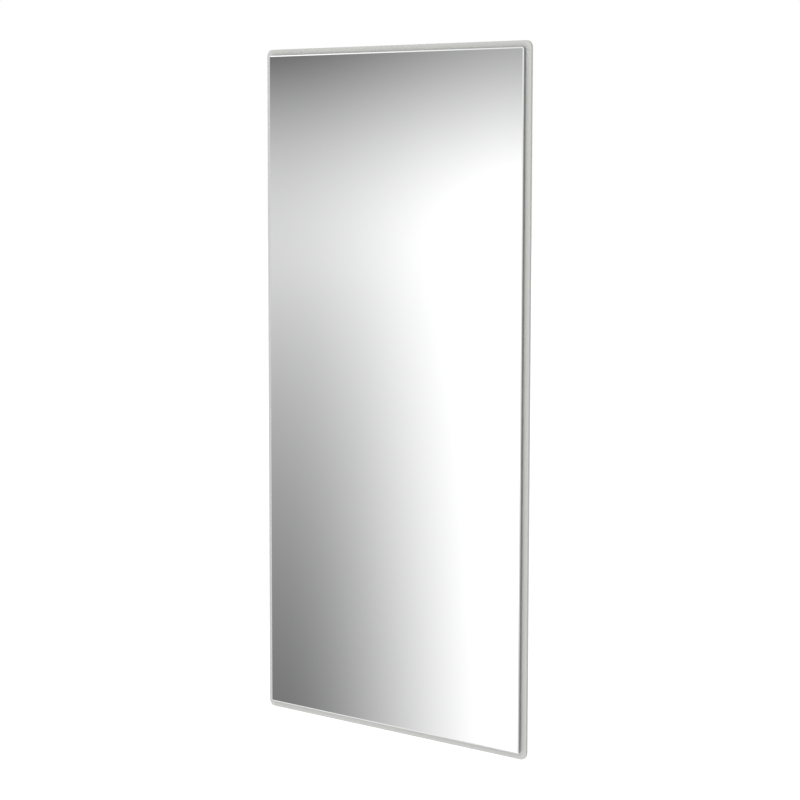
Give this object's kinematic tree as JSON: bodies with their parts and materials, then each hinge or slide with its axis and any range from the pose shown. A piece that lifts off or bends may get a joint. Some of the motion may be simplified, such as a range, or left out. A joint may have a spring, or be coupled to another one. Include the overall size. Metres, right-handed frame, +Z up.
{
  "type": "wall mirror",
  "caption": "Flat rectangular wall mirror with a polished bevel, bonded to a thin rounded back panel that hangs on a Z-section wall rail.",
  "frame": {"origin": "on the wall plane, in the middle of the wall rail's back face, on the line of its screw slots", "axes": "+Y into the wall, +Z up, +X to the right of someone who faces the mirror"},
  "size_m": [0.6, 0.0206, 1.2],
  "materials": {
    "silvered_glass": "polished float glass, silvered on the back",
    "safety_film": "thin satin film",
    "foam_tape": "matte closed-cell foam",
    "adhesive": "cured adhesive, satin",
    "light_grey_panel": "smooth satin, light warm grey",
    "anodised_aluminium": "extruded, satin anodised",
    "zinc_plated_steel": "zinc plated",
    "black_rubber": "matte",
    "grey_plastic": "moulded, fine texture"
  },
  "bodies": {
    "wall_fixing": {"wall_rail": "anodised_aluminium", "rail_end_cap_left": "grey_plastic", "rail_end_cap_right": "grey_plastic"},
    "mirror_unit": {"mirror_glass": "silvered_glass", "safety_film": "safety_film", "mounting_tape_1": "foam_tape", "mounting_tape_2": "foam_tape", "mounting_tape_3": "foam_tape", "mounting_tape_4": "foam_tape", "adhesive_bead_1": "adhesive", "adhesive_bead_2": "adhesive", "adhesive_bead_3": "adhesive", "back_panel": "light_grey_panel", "panel_rail": "anodised_aluminium", "panel_rail_screw_1": "zinc_plated_steel", "panel_rail_screw_2": "zinc_plated_steel", "panel_rail_screw_3": "zinc_plated_steel", "panel_rail_screw_4": "zinc_plated_steel", "panel_rail_nut_1": "zinc_plated_steel", "panel_rail_nut_2": "zinc_plated_steel", "panel_rail_nut_3": "zinc_plated_steel", "panel_rail_nut_4": "zinc_plated_steel", "lower_spacer": "anodised_aluminium", "lower_spacer_screw_1": "zinc_plated_steel", "lower_spacer_screw_2": "zinc_plated_steel", "lower_spacer_screw_3": "zinc_plated_steel", "wall_pad_left": "black_rubber", "wall_pad_right": "black_rubber"}
  },
  "joints": [
    {"name": "lift_off", "type": "slide", "parent": "wall_fixing", "child": "mirror_unit", "axis": [0, 0, 1], "range_m": [0, 0.015]}
  ]
}
